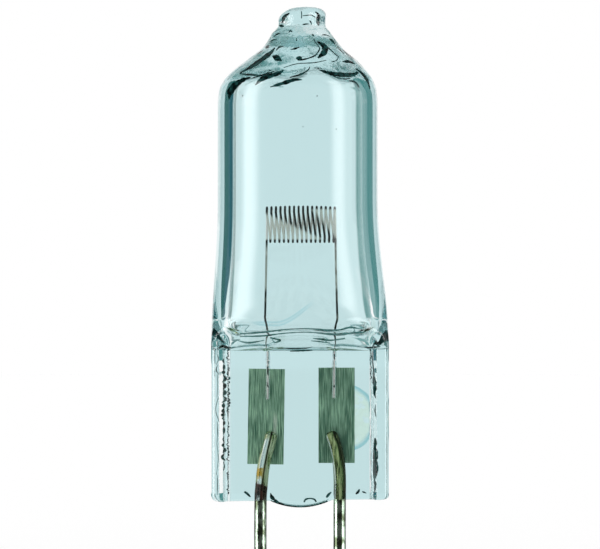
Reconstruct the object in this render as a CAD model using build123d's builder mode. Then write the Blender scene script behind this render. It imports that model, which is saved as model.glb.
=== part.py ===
from build123d import *
from math import cos, pi, radians, sin, tan
import os

# Two-pin quartz halogen projector bulb, in millimetres and degrees.
# The origin is midway between the pins, where they leave the glass.
# +Z runs up the bulb to its tip, X runs across the flat seal, and -Y is the front.

# Pins
pin_spacing = 6.35
pin_diameter = 1.0
pin_free_length = 8.0
pin_end_chamfer = 0.2
pin_top_chamfer = 0.3
pin_top_z = 5.4
pin_bend_start_z = 0.1
lower_bend_radius = 12.0
upper_bend_radius = 5.0
left_lower_angle = 6.5
left_upper_angle = 14.5
left_knee_length = 0.5
right_lower_angle = 2.0
right_upper_angle = 19.0
right_knee_length = 1.5

# Foils
foil_width = 2.9
foil_length = 7.65
foil_thickness = 0.04
foil_edge_thickness = 0.015
foil_feather_width = 0.5
left_foil_inset = 0.4
left_foil_top_drop = 1.8
left_foil_angle = 0.9
right_foil_inset = 0.24
right_foil_top_drop = 1.7
right_foil_angle = 0.0
weld_gap = 0.01

# Filament
wire_diameter = 0.2
wire_sides = 6
coil_bottom_bends = 15
coil_pitch = 0.3625
coil_height = 2.72
coil_depth = 0.9
coil_bend_steps = 6
coil_centre_z = 21.96
coil_centre_x = 0.07
leg_weld_length = 2.4
leg_straight_rise = 0.4
leg_bow_rise = 0.9
leg_bow = 0.12
left_leg_offset = 0.17
right_leg_offset = -0.17

# Flat seal
seal_width = 14.2
seal_height = 12.2
rail_thickness = 4.0
rail_edge_flat = 2.9
rail_width = 1.4
rail_rise = 1.3
rail_draft_angle = 37.0
web_recess_depth = 0.8
seal_rim_chamfer = 0.25
tongue_pin_gap = 0.57
tongue_depth = 0.64
tongue_thickness = 2.3
tongue_edge_chamfer = 0.25
press_mark_rail_gap = 0.1
press_mark_z = 6.46
press_mark_width = 4.2
press_mark_height = 5.2
press_mark_depth = 0.2
pin_clearance = 0.02
foil_clearance = 0.015
leg_clearance = 0.02

# Bulb
tube_diameter = 12.83
tube_wall = 1.18
tube_length = 8.0
flare_height = 11.8
flare_steps = 8
flank_power = 4
shoulder_radius = 3.6
shoulder_angle = 52.0
neck_radius = 2.3
neck_flare = 1.4
neck_rise = 1.65
neck_ledge = 0.35
tip_height = 1.92
tip_chamfer = 0.7
tip_chamfer_height = 0.9

# Hollow inside the bulb
hollow_floor_rise = 0.1
hollow_floor_wall = 1.3
hollow_floor_thickness = 0.5
hollow_side_rise = 0.8
hollow_crown_rise = 2.6

# Heights and places that follow from the sizes above
flare_top_z = seal_height + flare_height
tube_top_z = flare_top_z + tube_length
tube_radius = tube_diameter / 2
hollow_radius = tube_radius - tube_wall
hollow_side_z = tube_top_z + hollow_side_rise
hollow_top_z = hollow_side_z + hollow_crown_rise
hollow_floor_z = seal_height + hollow_floor_rise
hollow_floor_width = seal_width - 2 * hollow_floor_wall
cone_end_radius = neck_radius + neck_flare
tip_radius = neck_radius - neck_ledge
web_thickness = rail_thickness - 2 * web_recess_depth
web_top_z = seal_height - web_recess_depth * tan(radians(rail_draft_angle))
rail_edge_radius = (rail_thickness - rail_edge_flat) / 2
rail_inner_x = seal_width / 2 - rail_width
tongue_width = pin_spacing - pin_diameter - 2 * tongue_pin_gap
press_mark_x = rail_inner_x - press_mark_rail_gap - press_mark_width / 2
foil_front_y = pin_diameter / 2 + weld_gap
foil_y = foil_front_y + foil_thickness / 2
left_foil_x = left_foil_inset - pin_spacing / 2
right_foil_x = pin_spacing / 2 - right_foil_inset
left_foil_bottom_z = seal_height - left_foil_top_drop - foil_length
right_foil_bottom_z = seal_height - right_foil_top_drop - foil_length
wire_radius = wire_diameter / 2
coil_bend_radius = coil_depth / 2
leg_y = foil_front_y - weld_gap - wire_radius
left_leg_x = left_foil_x + left_leg_offset
right_leg_x = right_foil_x + right_leg_offset
left_leg_end_z = seal_height - left_foil_top_drop - leg_weld_length
right_leg_end_z = seal_height - right_foil_top_drop - leg_weld_length
leg_straight_z = hollow_floor_z + leg_straight_rise
leg_bow_z = leg_straight_z + leg_bow_rise
cut_margin = 1.0

os.makedirs("parts", exist_ok=True)


def pin_path(side, lower_angle, upper_angle, knee_length, overrun):
    """Centre line of one pin, from its free end up to its top in the seal."""
    shaft_x = side * pin_spacing / 2
    with BuildLine(Plane.XZ) as path:
        shaft = Line((shaft_x, -pin_free_length - overrun), (shaft_x, pin_bend_start_z))
        lower_bend = JernArc(shaft @ 1, shaft % 1, lower_bend_radius, side * lower_angle)
        knee = Line(lower_bend @ 1, lower_bend @ 1 + lower_bend % 1 * knee_length)
        upper_bend = JernArc(knee @ 1, knee % 1, upper_bend_radius, side * (upper_angle - lower_angle))
        top_run = (pin_top_z - (upper_bend @ 1).Z) / cos(radians(upper_angle)) + overrun
        Line(upper_bend @ 1, upper_bend @ 1 + upper_bend % 1 * top_run)
    return path.line


def foil_plane(foil_x, bottom_z, tilt_angle, overrun):
    """Plane of a foil's lower edge, leaning sideways by the foil's tilt."""
    lean = radians(tilt_angle)
    along = Vector(sin(lean), 0, cos(lean))
    corner = Vector(foil_x, foil_y, bottom_z) - along * overrun
    return Plane(origin=corner, x_dir=(cos(lean), 0, -sin(lean)), z_dir=along)


def foil_section(margin):
    """Cross-section of a foil: a flat band that thins to feather edges."""
    band_x = foil_width / 2 - foil_feather_width
    edge_x = foil_width / 2 + margin
    band_y = foil_thickness / 2 + margin
    edge_y = foil_edge_thickness / 2 + margin
    with BuildLine() as outline:
        Polyline((-band_x, band_y), (band_x, band_y), (edge_x, edge_y), (edge_x, -edge_y))
        Polyline((edge_x, -edge_y), (band_x, -band_y), (-band_x, -band_y), (-edge_x, -edge_y))
        Polyline((-edge_x, -edge_y), (-edge_x, edge_y), (-band_x, band_y))
    make_face(outline.edges())


def flare_sections(start_radius, floor_width, floor_thickness, floor_z):
    """Ellipses that take the round tube down to a flat floor."""
    sections = []
    for step in range(flare_steps + 1):
        share = step / flare_steps
        widening = sin(share * pi / 2) ** 2
        half_width = start_radius + (floor_width / 2 - start_radius) * widening
        half_depth = start_radius + (floor_thickness / 2 - start_radius) * share**flank_power
        with BuildSketch(Plane.XY.offset(flare_top_z + (floor_z - flare_top_z) * share)) as section:
            if step == 0:
                Circle(start_radius)
            else:
                Ellipse(half_width, half_depth)
        sections.append(section.sketch.face())
    return sections


def half_turn(bend_x, side_z, reach):
    """Points of one bend of the coil, round from one face of the coil to the other."""
    turns = [pi * step / coil_bend_steps for step in range(coil_bend_steps + 1)]
    return [(bend_x, reach * cos(turn), side_z + reach * sin(turn)) for turn in turns]


pin_shapes = {
    "left_pin": (-1, left_lower_angle, left_upper_angle, left_knee_length),
    "right_pin": (1, right_lower_angle, right_upper_angle, right_knee_length),
}
foil_places = {
    "left_foil": (left_foil_x, left_foil_bottom_z, left_foil_angle),
    "right_foil": (right_foil_x, right_foil_bottom_z, right_foil_angle),
}

# Pins: round wire, straight outside the glass and bent towards the foils inside it
for name, shape in pin_shapes.items():
    with BuildPart() as pin:
        line = pin_path(*shape, overrun=0)
        with BuildSketch(Plane(origin=line @ 0, z_dir=line % 0)):
            Circle(pin_diameter / 2)
        sweep(path=line)
        rims = pin.edges().filter_by(GeomType.CIRCLE).sort_by(Axis.Z)
        chamfer(rims[0], pin_end_chamfer)
        chamfer(rims[-1], pin_top_chamfer)
    pin.part.label = name
    export_step(pin.part, f"parts/{name}.step")

# Foils: thin strips behind the pins, feathered along both long edges
for name, place in foil_places.items():
    with BuildPart() as foil:
        with BuildSketch(foil_plane(*place, overrun=0)):
            foil_section(margin=0)
        extrude(amount=foil_length)
    foil.part.label = name
    export_step(foil.part, f"parts/{name}.step")

# Filament: one wire, wound flat, with both ends hanging down as legs
coil_top_z = coil_centre_z + coil_height / 2
coil_bottom_z = coil_centre_z - coil_height / 2
coil_first_x = coil_centre_x - coil_pitch * coil_bottom_bends / 2
coil_last_x = coil_first_x + coil_pitch * coil_bottom_bends
left_leg_points = [
    (left_leg_x, leg_y, left_leg_end_z),
    (left_leg_x, leg_y, leg_straight_z),
    (coil_first_x - leg_bow, leg_y, leg_bow_z),
]
coil_points = []
for bend in range(coil_bottom_bends + 1):
    bend_x = coil_first_x + coil_pitch * bend
    coil_points += half_turn(bend_x, coil_top_z - coil_bend_radius, coil_bend_radius)
    if bend < coil_bottom_bends:
        coil_points += half_turn(bend_x + coil_pitch / 2, coil_bottom_z + coil_bend_radius, -coil_bend_radius)
right_leg_points = [
    (coil_last_x + leg_bow, leg_y, leg_bow_z),
    (right_leg_x, leg_y, leg_straight_z),
    (right_leg_x, leg_y, right_leg_end_z),
]

with BuildPart() as filament:
    with BuildLine() as wire_path:
        Polyline(*left_leg_points, *coil_points, *right_leg_points)
    wire_line = wire_path.line
    with BuildSketch(Plane(origin=wire_line @ 0, z_dir=wire_line % 0)):
        RegularPolygon(wire_radius, wire_sides)
    sweep(path=wire_line, transition=Transition.RIGHT)
filament.part.label = "filament"
export_step(filament.part, "parts/filament.step")

# Hollow of the bulb: round inside the tube, coned at the crown, closing to a slot at the seal
with BuildPart() as hollow:
    with BuildSketch(Plane.XZ):
        with BuildLine():
            hollow_foot = Line((0, flare_top_z), (hollow_radius, flare_top_z))
            hollow_side = Line(hollow_foot @ 1, (hollow_radius, hollow_side_z))
            Polyline(hollow_side @ 1, (0, hollow_top_z), (0, flare_top_z))
        make_face()
    revolve(axis=Axis.Z)
    hollow_flare = flare_sections(hollow_radius, hollow_floor_width, hollow_floor_thickness, hollow_floor_z)
    loft(hollow_flare, ruled=True)

# Pockets that the pins, foils and filament legs fill in the seal
with BuildPart() as seal_pockets:
    for shape in pin_shapes.values():
        pocket_line = pin_path(*shape, overrun=pin_clearance)
        with BuildSketch(Plane(origin=pocket_line @ 0, z_dir=pocket_line % 0)):
            Circle(pin_diameter / 2 + pin_clearance)
        sweep(path=pocket_line)
    for place in foil_places.values():
        with BuildSketch(foil_plane(*place, overrun=foil_clearance)):
            foil_section(margin=foil_clearance)
        extrude(amount=foil_length + 2 * foil_clearance)
    for leg_x, leg_end_z in ((left_leg_x, left_leg_end_z), (right_leg_x, right_leg_end_z)):
        with BuildSketch(Plane.XY.offset(leg_end_z - leg_clearance)):
            with Locations((leg_x, leg_y)):
                Circle(wire_radius + leg_clearance)
        extrude(amount=leg_straight_z - leg_end_z)

# Tongue of glass that the press leaves between the pins
with BuildPart() as tongue:
    with BuildSketch(Plane.XZ):
        with BuildLine():
            ThreePointArc((-tongue_width / 2, 0), (0, -tongue_depth), (tongue_width / 2, 0))
            Polyline((tongue_width / 2, 0), (tongue_width / 2, cut_margin), (-tongue_width / 2, cut_margin))
            Line((-tongue_width / 2, cut_margin), (-tongue_width / 2, 0))
        make_face()
    extrude(amount=tongue_thickness / 2, both=True)
    chamfer(tongue.edges().group_by(Axis.Z)[0], tongue_edge_chamfer)

# Envelope: one piece of quartz, blown at the top and pressed flat at the seal
with BuildPart() as quartz_envelope:
    with BuildSketch(Plane.XY):
        RectangleRounded(seal_width, rail_thickness, rail_edge_radius)
    extrude(amount=seal_height + rail_rise)
    for face_side in (-1, 1):
        web_face = Plane.XZ.offset(-face_side * web_thickness / 2)
        with BuildSketch(web_face):
            with Locations((0, (web_top_z - cut_margin) / 2)):
                Rectangle(2 * rail_inner_x, web_top_z + cut_margin)
        extrude(amount=-face_side * (web_recess_depth + cut_margin), taper=-rail_draft_angle, mode=Mode.SUBTRACT)
    seal_rim = quartz_envelope.faces().sort_by(Axis.Z)[0].edges()
    chamfer(seal_rim, seal_rim_chamfer)
    add(tongue.part)
    with BuildSketch(Plane.XZ):
        with BuildLine():
            foot = Line((0, flare_top_z), (tube_radius, flare_top_z))
            side_wall = Line(foot @ 1, (tube_radius, tube_top_z))
            shoulder = JernArc(side_wall @ 1, side_wall % 1, shoulder_radius, shoulder_angle)
            crown_run = ((shoulder @ 1).X - cone_end_radius) / sin(radians(shoulder_angle))
            crown_cone = Line(shoulder @ 1, shoulder @ 1 + shoulder % 1 * crown_run)
            neck_z = (crown_cone @ 1).Y + neck_rise
            tip_z = neck_z + tip_height
            Polyline((cone_end_radius, (crown_cone @ 1).Y), (neck_radius, neck_z), (tip_radius, neck_z))
            tip_side = Line((tip_radius, neck_z), (tip_radius, tip_z - tip_chamfer_height))
            Polyline(tip_side @ 1, (tip_radius - tip_chamfer, tip_z), (0, tip_z), (0, flare_top_z))
        make_face()
    revolve(axis=Axis.Z)
    loft(flare_sections(tube_radius, seal_width, rail_thickness, seal_height), ruled=True)
    with BuildSketch(Plane.XZ.offset(-web_thickness / 2)):
        with Locations((press_mark_x, press_mark_z)):
            Ellipse(press_mark_width / 2, press_mark_height / 2)
    extrude(amount=press_mark_depth, mode=Mode.SUBTRACT)
    add(hollow.part, mode=Mode.SUBTRACT)
    add(seal_pockets.part, mode=Mode.SUBTRACT)
quartz_envelope.part.label = "quartz_envelope"
export_step(quartz_envelope.part, "parts/quartz_envelope.step")
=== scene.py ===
"""Looks of a two-pin quartz projector bulb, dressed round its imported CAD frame.

Meshes are modelled in millimetres, upright, with the origin midway between the pins, and scaled to metres.
"""

import logging
import math
from dataclasses import dataclass
from enum import Enum
from typing import Any, Callable, NamedTuple

import bmesh
import bpy
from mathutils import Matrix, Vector, noise


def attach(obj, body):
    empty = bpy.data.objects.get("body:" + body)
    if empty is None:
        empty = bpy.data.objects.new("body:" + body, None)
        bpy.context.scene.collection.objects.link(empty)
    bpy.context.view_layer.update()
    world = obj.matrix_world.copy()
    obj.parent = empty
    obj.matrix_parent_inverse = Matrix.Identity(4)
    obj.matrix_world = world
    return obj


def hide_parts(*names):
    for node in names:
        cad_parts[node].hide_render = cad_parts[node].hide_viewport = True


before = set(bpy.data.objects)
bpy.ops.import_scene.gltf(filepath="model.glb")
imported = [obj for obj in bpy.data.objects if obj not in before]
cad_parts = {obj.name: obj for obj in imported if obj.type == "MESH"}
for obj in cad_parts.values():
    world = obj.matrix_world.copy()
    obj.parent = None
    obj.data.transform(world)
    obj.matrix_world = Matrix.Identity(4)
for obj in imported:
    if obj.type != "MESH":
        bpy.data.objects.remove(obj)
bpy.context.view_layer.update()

MM = 0.001
WELD_DISTANCE = 1e-4
NOISE_MIDDLE = 0.5
FRONT = -1.0
log = logging.getLogger("projector_bulb")

# Sockets of the Mix node that mix two colours: the share, both colours, and the result
MIX_INPUTS = (0, 6, 7)
MIX_OUTPUT = 2

Colour = tuple[float, float, float, float]
# Where a rise starts and ends
Span = tuple[float, float]
# Where a band starts and ends, and how soft its edges are
Band = tuple[float, float, float]


class Side(Enum):
    """The two halves of the bulb, as the camera sees them."""

    LEFT = -1
    RIGHT = 1

    @property
    def label(self) -> str:
        """The word that starts the names of this side's pieces."""
        return self.name.lower()


def ease(low: float, high: float, value: float) -> float:
    """Rise smoothly from 0 at low to 1 at high.

    Args:
        low: Value where the rise starts.
        high: Value where the rise ends.
        value: Value to place between them.

    Returns:
        A share between 0 and 1.
    """
    share = min(max((value - low) / (high - low), 0.0), 1.0)
    return share * share * (3.0 - 2.0 * share)


def mix(start: float, end: float, share: float) -> float:
    """Go from start to end by a share between 0 and 1."""
    return start + (end - start) * share


@dataclass(frozen=True)
class Profile:
    """A smooth curve through a few (place, value) points, level beyond its ends."""

    points: tuple[tuple[float, float], ...]

    def _slope(self, index: int) -> float:
        """Slope of the curve at one of its points."""
        before = self.points[max(index - 1, 0)]
        after = self.points[min(index + 1, len(self.points) - 1)]
        return (after[1] - before[1]) / (after[0] - before[0])

    def at(self, place: float) -> float:
        """Value of the curve.

        Args:
            place: Where along the curve to read it.

        Returns:
            The value there.
        """
        if place <= self.points[0][0]:
            return self.points[0][1]
        if place >= self.points[-1][0]:
            return self.points[-1][1]
        index = max(i for i, point in enumerate(self.points) if point[0] <= place)
        (start, first), (end, last) = self.points[index], self.points[index + 1]
        run = end - start
        t = (place - start) / run
        lead = self._slope(index) * run
        trail = self._slope(index + 1) * run
        return (
            first * (2 * t**3 - 3 * t**2 + 1)
            + lead * (t**3 - 2 * t**2 + t)
            + last * (3 * t**2 - 2 * t**3)
            + trail * (t**3 - t**2)
        )


def steps(low: float, high: float, count: int) -> list[float]:
    """Evenly spaced values from low up to, but without, high."""
    return [low + (high - low) * index / count for index in range(count)]


def unit_tube(spokes: int, rings: int) -> bmesh.types.BMesh:
    """Spin an upright edge into a tube of radius 1 whose rings stand one unit apart.

    Args:
        spokes: Vertices round the tube.
        rings: Rings along the tube.

    Returns:
        The open tube, with its first ring at height 0.
    """
    tube = bmesh.new()
    ends = [tube.verts.new((1.0, 0.0, height)) for height in (0.0, rings - 1.0)]
    edge = tube.edges.new(ends)
    bmesh.ops.subdivide_edges(tube, edges=[edge], cuts=rings - 2)
    bmesh.ops.spin(
        tube,
        geom=tube.verts[:] + tube.edges[:],
        cent=(0.0, 0.0, 0.0),
        axis=(0.0, 0.0, 1.0),
        angle=2 * math.pi,
        steps=spokes,
        use_merge=True,
    )
    return tube


def shape_tube(tube: bmesh.types.BMesh, place: Callable[[float, int], Vector]) -> bmesh.types.BMesh:
    """Move each vertex of a unit tube to its place, and close the ends that shrink to a point or a line.

    Args:
        tube: A tube from unit_tube.
        place: Gives a vertex its place from its angle and the number of its ring.

    Returns:
        The same tube, with its faces outwards.
    """
    for vert in tube.verts:
        vert.co = place(math.atan2(vert.co.y, vert.co.x), round(vert.co.z))
    bmesh.ops.remove_doubles(tube, verts=tube.verts[:], dist=WELD_DISTANCE)
    bmesh.ops.recalc_face_normals(tube, faces=tube.faces[:])
    return tube


def sweep_tube(path: list[Vector], radius: Callable[[int], float], spokes: int) -> bmesh.types.BMesh:
    """Round bar along a path, closed at both ends.

    Args:
        path: Points of the centre line.
        radius: Radius of the bar at a point's number.
        spokes: Vertices round the bar.

    Returns:
        The bar as a closed mesh.
    """
    last = len(path) - 1
    tangents = [(path[min(i + 1, last)] - path[max(i - 1, 0)]).normalized() for i in range(last + 1)]
    normal = tangents[0].orthogonal().normalized()
    frames = []
    for tangent in tangents:
        normal = (normal - tangent * normal.dot(tangent)).normalized()
        frames.append((normal, tangent.cross(normal)))

    def place(angle: float, ring: int) -> Vector:
        """Place of a vertex round the bar, or in the middle of an end."""
        index = min(max(ring - 1, 0), last)
        reach = 0.0 if ring in (0, last + 2) else radius(index)
        across, along = frames[index]
        return path[index] + (across * math.cos(angle) + along * math.sin(angle)) * reach

    return shape_tube(unit_tube(spokes, last + 3), place)


def make_piece(name: str, shells: list[bmesh.types.BMesh]) -> bpy.types.Object:
    """Join closed shells into one smooth object, scaled to metres.

    Args:
        name: Name of the piece.
        shells: Meshes in millimetres, which are used up.

    Returns:
        The object, linked to the scene and riding on the bulb.
    """
    joined = bmesh.new()
    part = bpy.data.meshes.new(name + ".part")
    for shell in shells:
        shell.to_mesh(part)
        joined.from_mesh(part)
        shell.free()
    bpy.data.meshes.remove(part)
    bmesh.ops.scale(joined, vec=(MM, MM, MM), verts=joined.verts[:])
    for face in joined.faces:
        face.smooth = True
    mesh = bpy.data.meshes.new(name)
    joined.to_mesh(mesh)
    joined.free()
    piece = bpy.data.objects.new(name, mesh)
    bpy.context.scene.collection.objects.link(piece)
    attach(piece, "root")
    return piece


class Sock:
    """An output of a shader node that takes part in plain arithmetic."""

    def __init__(self, graph: "Graph", out: Any) -> None:
        """Wrap one output socket of a graph."""
        self.graph = graph
        self.out = out

    def _math(self, operation: str, first: Any, second: Any = 0.0) -> "Sock":
        """Add one Math node."""
        return self.graph.add("ShaderNodeMath", {"operation": operation}, {0: first, 1: second})

    def __add__(self, other: Any) -> "Sock":
        """Sum."""
        return self._math("ADD", self, other)

    def __sub__(self, other: Any) -> "Sock":
        """Difference."""
        return self._math("SUBTRACT", self, other)

    def __rsub__(self, other: Any) -> "Sock":
        """Difference, from a number."""
        return self._math("SUBTRACT", other, self)

    def __mul__(self, other: Any) -> "Sock":
        """Product."""
        return self._math("MULTIPLY", self, other)

    def __or__(self, other: "Sock") -> "Sock":
        """Share that either of two shares covers."""
        return 1 - (1 - self) * (1 - other)

    __radd__ = __add__
    __rmul__ = __mul__

    def bearing(self, other: "Sock") -> "Sock":
        """Angle in degrees whose tangent is this value over the other."""
        return self._math("ARCTAN2", self, other) * math.degrees(1.0)

    def rise(self) -> "Sock":
        """Angle in degrees whose sine is this value."""
        return self._math("ARCSINE", self) * math.degrees(1.0)

    def eased(self, low: float, high: float) -> "Sock":
        """Rise smoothly from 0 at low to 1 at high."""
        limits = {"Value": self, "From Min": low, "From Max": high}
        return self.graph.add("ShaderNodeMapRange", {"interpolation_type": "SMOOTHSTEP"}, limits)

    def band(self, low: float, high: float, soft: float) -> "Sock":
        """1 between low and high, and 0 outside, with soft edges."""
        return self.eased(low - soft, low + soft) * (1 - self.eased(high - soft, high + soft))


@dataclass(frozen=True)
class Pattern:
    """A noise: its features to a millimetre, the squash that draws them out upwards, and its detail."""

    scale: float
    squash: float = 1.0
    detail: float = 3.0


class Graph:
    """A node tree that is written as expressions."""

    def __init__(self, tree: bpy.types.NodeTree) -> None:
        """Start from an empty tree."""
        tree.nodes.clear()
        self.tree = tree

    def add(
        self, kind: str, settings: dict | None = None, inputs: dict | None = None, output: Any = 0
    ) -> Sock:
        """Add a node.

        Args:
            kind: Type of the node.
            settings: Properties to set first.
            inputs: Value or Sock of each input socket, by name or number.
            output: Name or number of the output to hand back.

        Returns:
            The output, wrapped for arithmetic.
        """
        node = self.tree.nodes.new(kind)
        for key, value in (settings or {}).items():
            setattr(node, key, value)
        for key, value in (inputs or {}).items():
            if isinstance(value, Sock):
                self.tree.links.new(value.out, node.inputs[key])
            else:
                node.inputs[key].default_value = value
        return Sock(self, node.outputs[output] if len(node.outputs) else None)

    def millimetres(self, squash: float = 1.0) -> Sock:
        """Place on the piece in millimetres, with its height times a squash."""
        place = self.add("ShaderNodeTexCoord", output="Object")
        scale = (1 / MM, 1 / MM, squash / MM)
        return self.add("ShaderNodeMapping", None, {"Vector": place, "Scale": scale})

    def axes(self, place: Sock, letters: str) -> list[Sock]:
        """Coordinates of a place along the axes that the letters name."""
        return [self.add("ShaderNodeSeparateXYZ", None, {"Vector": place}, axis) for axis in letters]

    def speckle(self, pattern: Pattern) -> Sock:
        """Noise between 0 and 1 all over the piece."""
        place = self.millimetres(pattern.squash)
        inputs = {"Vector": place, "Scale": pattern.scale, "Detail": pattern.detail}
        return self.add("ShaderNodeTexNoise", None, inputs)

    def blend(self, share: Sock, first: Any, second: Any) -> Sock:
        """Mix two colours."""
        inputs = dict(zip(MIX_INPUTS, (share, first, second)))
        return self.add("ShaderNodeMix", {"data_type": "RGBA"}, inputs, MIX_OUTPUT)

    def bump(self, relief: Sock, height: float, strength: float = 1.0) -> Sock:
        """Normal of a surface whose relief is so many millimetres high."""
        inputs = {"Strength": strength, "Distance": height * MM, "Height": relief}
        return self.add("ShaderNodeBump", None, inputs)

    def close(self, surface: dict, volume: Sock | None = None) -> None:
        """End the tree of a material.

        Args:
            surface: Value or Sock of each input of its Principled surface.
            volume: What fills the piece, unless nothing does.
        """
        ends = {"Surface": self.add("ShaderNodeBsdfPrincipled", None, surface)}
        if volume is not None:
            ends["Volume"] = volume
        self.add("ShaderNodeOutputMaterial", None, ends)


def new_material(name: str) -> tuple[bpy.types.Material, Graph]:
    """Start a material, and the graph of its nodes."""
    material = bpy.data.materials.new(name)
    material.use_nodes = True
    return material, Graph(material.node_tree)


@dataclass(frozen=True)
class PressMark:
    """Shallow oval that the jaws left on the back of the seal, with a soft edge and a rippled floor."""

    x: float = 3.95
    z: float = 6.46
    width: float = 4.2
    height: float = 5.2
    depth: float = 0.2
    edge: float = 0.3
    level: float = 0.6
    ripple: float = 1.2
    ripple_scale: float = 1.3
    ripple_seed: float = 5.0

    def dent(self, x: float, z: float) -> float:
        """Depth of the mark at a place across the seal and a height."""
        off = 2 * math.hypot((x - self.x) / self.width, (z - self.z) / self.height)
        spot = Vector((x * self.ripple_scale, z * self.ripple_scale, self.ripple_seed))
        return self.depth * ease(0.0, self.edge, 1 - off) * (self.level + self.ripple * noise.noise(spot))


@dataclass(frozen=True)
class QuartzFinish:
    """Clear fused quartz with tool marks, painted light and painted shade in its press mark, and the faint
    blue-green of a long way through it.
    """

    mark: PressMark
    name: str = "clear_quartz"
    refraction: float = 1.46
    tint: Colour = (0.29, 0.71, 0.74, 1.0)
    tint_density: float = 22.0
    clear: Colour = (1.0, 1.0, 1.0, 1.0)
    # Painted light as a cream cloud in the press mark, and painted shade round its edge
    painted_mark_light: Colour = (1.0, 0.985, 0.8, 1.0)
    painted_rim_shade: Colour = (0.24, 0.52, 0.57, 1.0)
    clouds: Pattern = Pattern(0.9)
    cloud_sway: float = 0.3
    cloud_edge: Span = (0.7, 0.95)
    cloud_breaks: Span = (0.36, 0.5)
    rim_inside: Span = (0.62, 0.95)
    rim_outside: Span = (0.98, 1.08)
    rim_breaks: Span = (0.2, 0.5)
    back_y: Span = (0.6, 0.8)
    # The faint line that climbs across the front of the flare
    wisp: Colour = (0.5, 0.77, 0.84, 1.0)
    wisp_z: float = 14.2
    wisp_rise: float = 2.3
    wisp_climb_x: Span = (-1.9, 2.6)
    wisp_line: Band = (-0.08, 0.06, 0.1)
    wisp_x: Band = (-3.6, 0.7, 0.6)
    wisp_back_y: Span = (-2.6, -2.2)
    # The ripples of the crown
    ripples: Pattern = Pattern(1.3)
    ripple_z: Span = (33.3, 34.5)
    ripple_height: float = 0.12

    def marks(self, graph: Graph) -> tuple[Sock, Sock]:
        """Lay out what the maker's flame and jaws left in the glass, with painted light and painted shade in
        the press mark.

        Args:
            graph: Node tree of the material.

        Returns:
            Tint of the glass with its painted light and shade, and height of its ripples.
        """
        x, y, z = graph.axes(graph.millimetres(), "XYZ")
        cloud = graph.speckle(self.clouds)
        off_x = (x - self.mark.x) * (2 / self.mark.width)
        off_z = (z - self.mark.z) * (2 / self.mark.height)
        off = off_x * off_x + off_z * off_z + (cloud - NOISE_MIDDLE) * self.cloud_sway
        back = y.eased(*self.back_y)
        ring = off.eased(*self.rim_inside) * (1 - off.eased(*self.rim_outside))
        # Painted shade round the edge of the press mark
        painted_rim_shade = ring * cloud.eased(*self.rim_breaks) * back
        # Painted light: a cream cloud inside the press mark
        inside = (1 - off.eased(*self.cloud_edge)) * cloud.eased(*self.cloud_breaks) * back
        drift = z - self.wisp_z - x.eased(*self.wisp_climb_x) * self.wisp_rise
        front = 1 - y.eased(*self.wisp_back_y)
        wisp = drift.band(*self.wisp_line) * x.band(*self.wisp_x) * front
        tint = graph.blend(wisp, self.clear, self.wisp)
        tint = graph.blend(inside, tint, self.painted_mark_light)
        tint = graph.blend(painted_rim_shade, tint, self.painted_rim_shade)
        ripple = graph.speckle(self.ripples) * z.eased(*self.ripple_z)
        return tint, ripple

    def material(self) -> bpy.types.Material:
        """Make the material."""
        material, graph = new_material(self.name)
        tint, ripple = self.marks(graph)
        surface = {
            "Base Color": tint,
            "Roughness": 0.0,
            "IOR": self.refraction,
            "Transmission Weight": 1.0,
            "Normal": graph.bump(ripple, self.ripple_height),
        }
        inside = {"Color": self.tint, "Density": self.tint_density}
        graph.close(surface, graph.add("ShaderNodeVolumeAbsorption", None, inside))
        return material


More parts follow.
